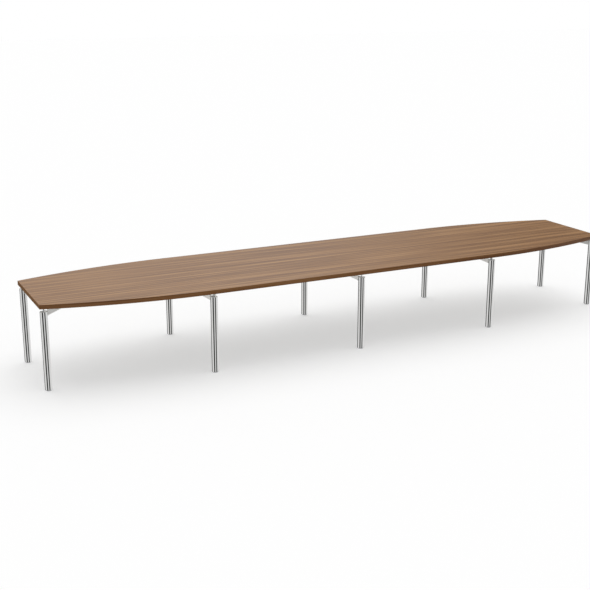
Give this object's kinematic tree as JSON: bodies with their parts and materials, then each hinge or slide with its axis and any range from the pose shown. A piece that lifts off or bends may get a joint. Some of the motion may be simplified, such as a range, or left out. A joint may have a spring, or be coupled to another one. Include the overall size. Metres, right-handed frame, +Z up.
{
  "type": "conference table",
  "caption": "Long boat-shaped conference table: walnut-veneered top in straight and bowed panels, held above round chromed tube legs by two-armed brackets, with levelling glides at the feet.",
  "frame": {"origin": "on the floor under the middle of the table", "axes": "+X along the length of the table to its right-hand end, +Y to its back, +Z up out of the worktop"},
  "size_m": [5.6, 1.2, 0.725],
  "materials": {
    "walnut_veneer": "satin lacquered walnut veneer, grain along the table",
    "chrome": "polished chrome plating",
    "satin_aluminium": "satin cast aluminium",
    "zinc_steel": "zinc-plated steel"
  },
  "bodies": {
    "table": {"top_end_left": "walnut_veneer", "top_middle_left": "walnut_veneer", "top_middle_right": "walnut_veneer", "top_end_right": "walnut_veneer", "leg_tube_front_1": "chrome", "leg_cap_front_1": "chrome", "spacer_pin_front_1": "zinc_steel", "leg_bracket_front_1": "satin_aluminium", "leg_tube_front_2": "chrome", "leg_cap_front_2": "chrome", "spacer_pin_front_2": "zinc_steel", "leg_bracket_front_2": "satin_aluminium", "leg_tube_front_3": "chrome", "leg_cap_front_3": "chrome", "spacer_pin_front_3": "zinc_steel", "leg_bracket_front_3": "satin_aluminium", "leg_tube_front_4": "chrome", "leg_cap_front_4": "chrome", "spacer_pin_front_4": "zinc_steel", "leg_bracket_front_4": "satin_aluminium", "leg_tube_front_5": "chrome", "leg_cap_front_5": "chrome", "spacer_pin_front_5": "zinc_steel", "leg_bracket_front_5": "satin_aluminium", "leg_tube_back_1": "chrome", "leg_cap_back_1": "chrome", "spacer_pin_back_1": "zinc_steel", "leg_bracket_back_1": "satin_aluminium", "leg_tube_back_2": "chrome", "leg_cap_back_2": "chrome", "spacer_pin_back_2": "zinc_steel", "leg_bracket_back_2": "satin_aluminium", "leg_tube_back_3": "chrome", "leg_cap_back_3": "chrome", "spacer_pin_back_3": "zinc_steel", "leg_bracket_back_3": "satin_aluminium", "leg_tube_back_4": "chrome", "leg_cap_back_4": "chrome", "spacer_pin_back_4": "zinc_steel", "leg_bracket_back_4": "satin_aluminium", "leg_tube_back_5": "chrome", "leg_cap_back_5": "chrome", "spacer_pin_back_5": "zinc_steel", "leg_bracket_back_5": "satin_aluminium", "seam_plate_left_front": "zinc_steel", "seam_plate_left_back": "zinc_steel", "seam_plate_centre_front": "zinc_steel", "seam_plate_centre_back": "zinc_steel", "seam_plate_right_front": "zinc_steel", "seam_plate_right_back": "zinc_steel"},
    "glide_front_1": {"levelling_glide_front_1": "zinc_steel"},
    "glide_front_2": {"levelling_glide_front_2": "zinc_steel"},
    "glide_front_3": {"levelling_glide_front_3": "zinc_steel"},
    "glide_front_4": {"levelling_glide_front_4": "zinc_steel"},
    "glide_front_5": {"levelling_glide_front_5": "zinc_steel"},
    "glide_back_1": {"levelling_glide_back_1": "zinc_steel"},
    "glide_back_2": {"levelling_glide_back_2": "zinc_steel"},
    "glide_back_3": {"levelling_glide_back_3": "zinc_steel"},
    "glide_back_4": {"levelling_glide_back_4": "zinc_steel"},
    "glide_back_5": {"levelling_glide_back_5": "zinc_steel"}
  },
  "joints": [
    {"name": "glide_front_1_travel", "type": "slide", "parent": "table", "child": "glide_front_1", "axis": [0, 0, -1], "range_m": [0, 0.015]},
    {"name": "glide_front_2_travel", "type": "slide", "parent": "table", "child": "glide_front_2", "axis": [0, 0, -1], "range_m": [0, 0.015]},
    {"name": "glide_front_3_travel", "type": "slide", "parent": "table", "child": "glide_front_3", "axis": [0, 0, -1], "range_m": [0, 0.015]},
    {"name": "glide_front_4_travel", "type": "slide", "parent": "table", "child": "glide_front_4", "axis": [0, 0, -1], "range_m": [0, 0.015]},
    {"name": "glide_front_5_travel", "type": "slide", "parent": "table", "child": "glide_front_5", "axis": [0, 0, -1], "range_m": [0, 0.015]},
    {"name": "glide_back_1_travel", "type": "slide", "parent": "table", "child": "glide_back_1", "axis": [0, 0, -1], "range_m": [0, 0.015]},
    {"name": "glide_back_2_travel", "type": "slide", "parent": "table", "child": "glide_back_2", "axis": [0, 0, -1], "range_m": [0, 0.015]},
    {"name": "glide_back_3_travel", "type": "slide", "parent": "table", "child": "glide_back_3", "axis": [0, 0, -1], "range_m": [0, 0.015]},
    {"name": "glide_back_4_travel", "type": "slide", "parent": "table", "child": "glide_back_4", "axis": [0, 0, -1], "range_m": [0, 0.015]},
    {"name": "glide_back_5_travel", "type": "slide", "parent": "table", "child": "glide_back_5", "axis": [0, 0, -1], "range_m": [0, 0.015]}
  ]
}
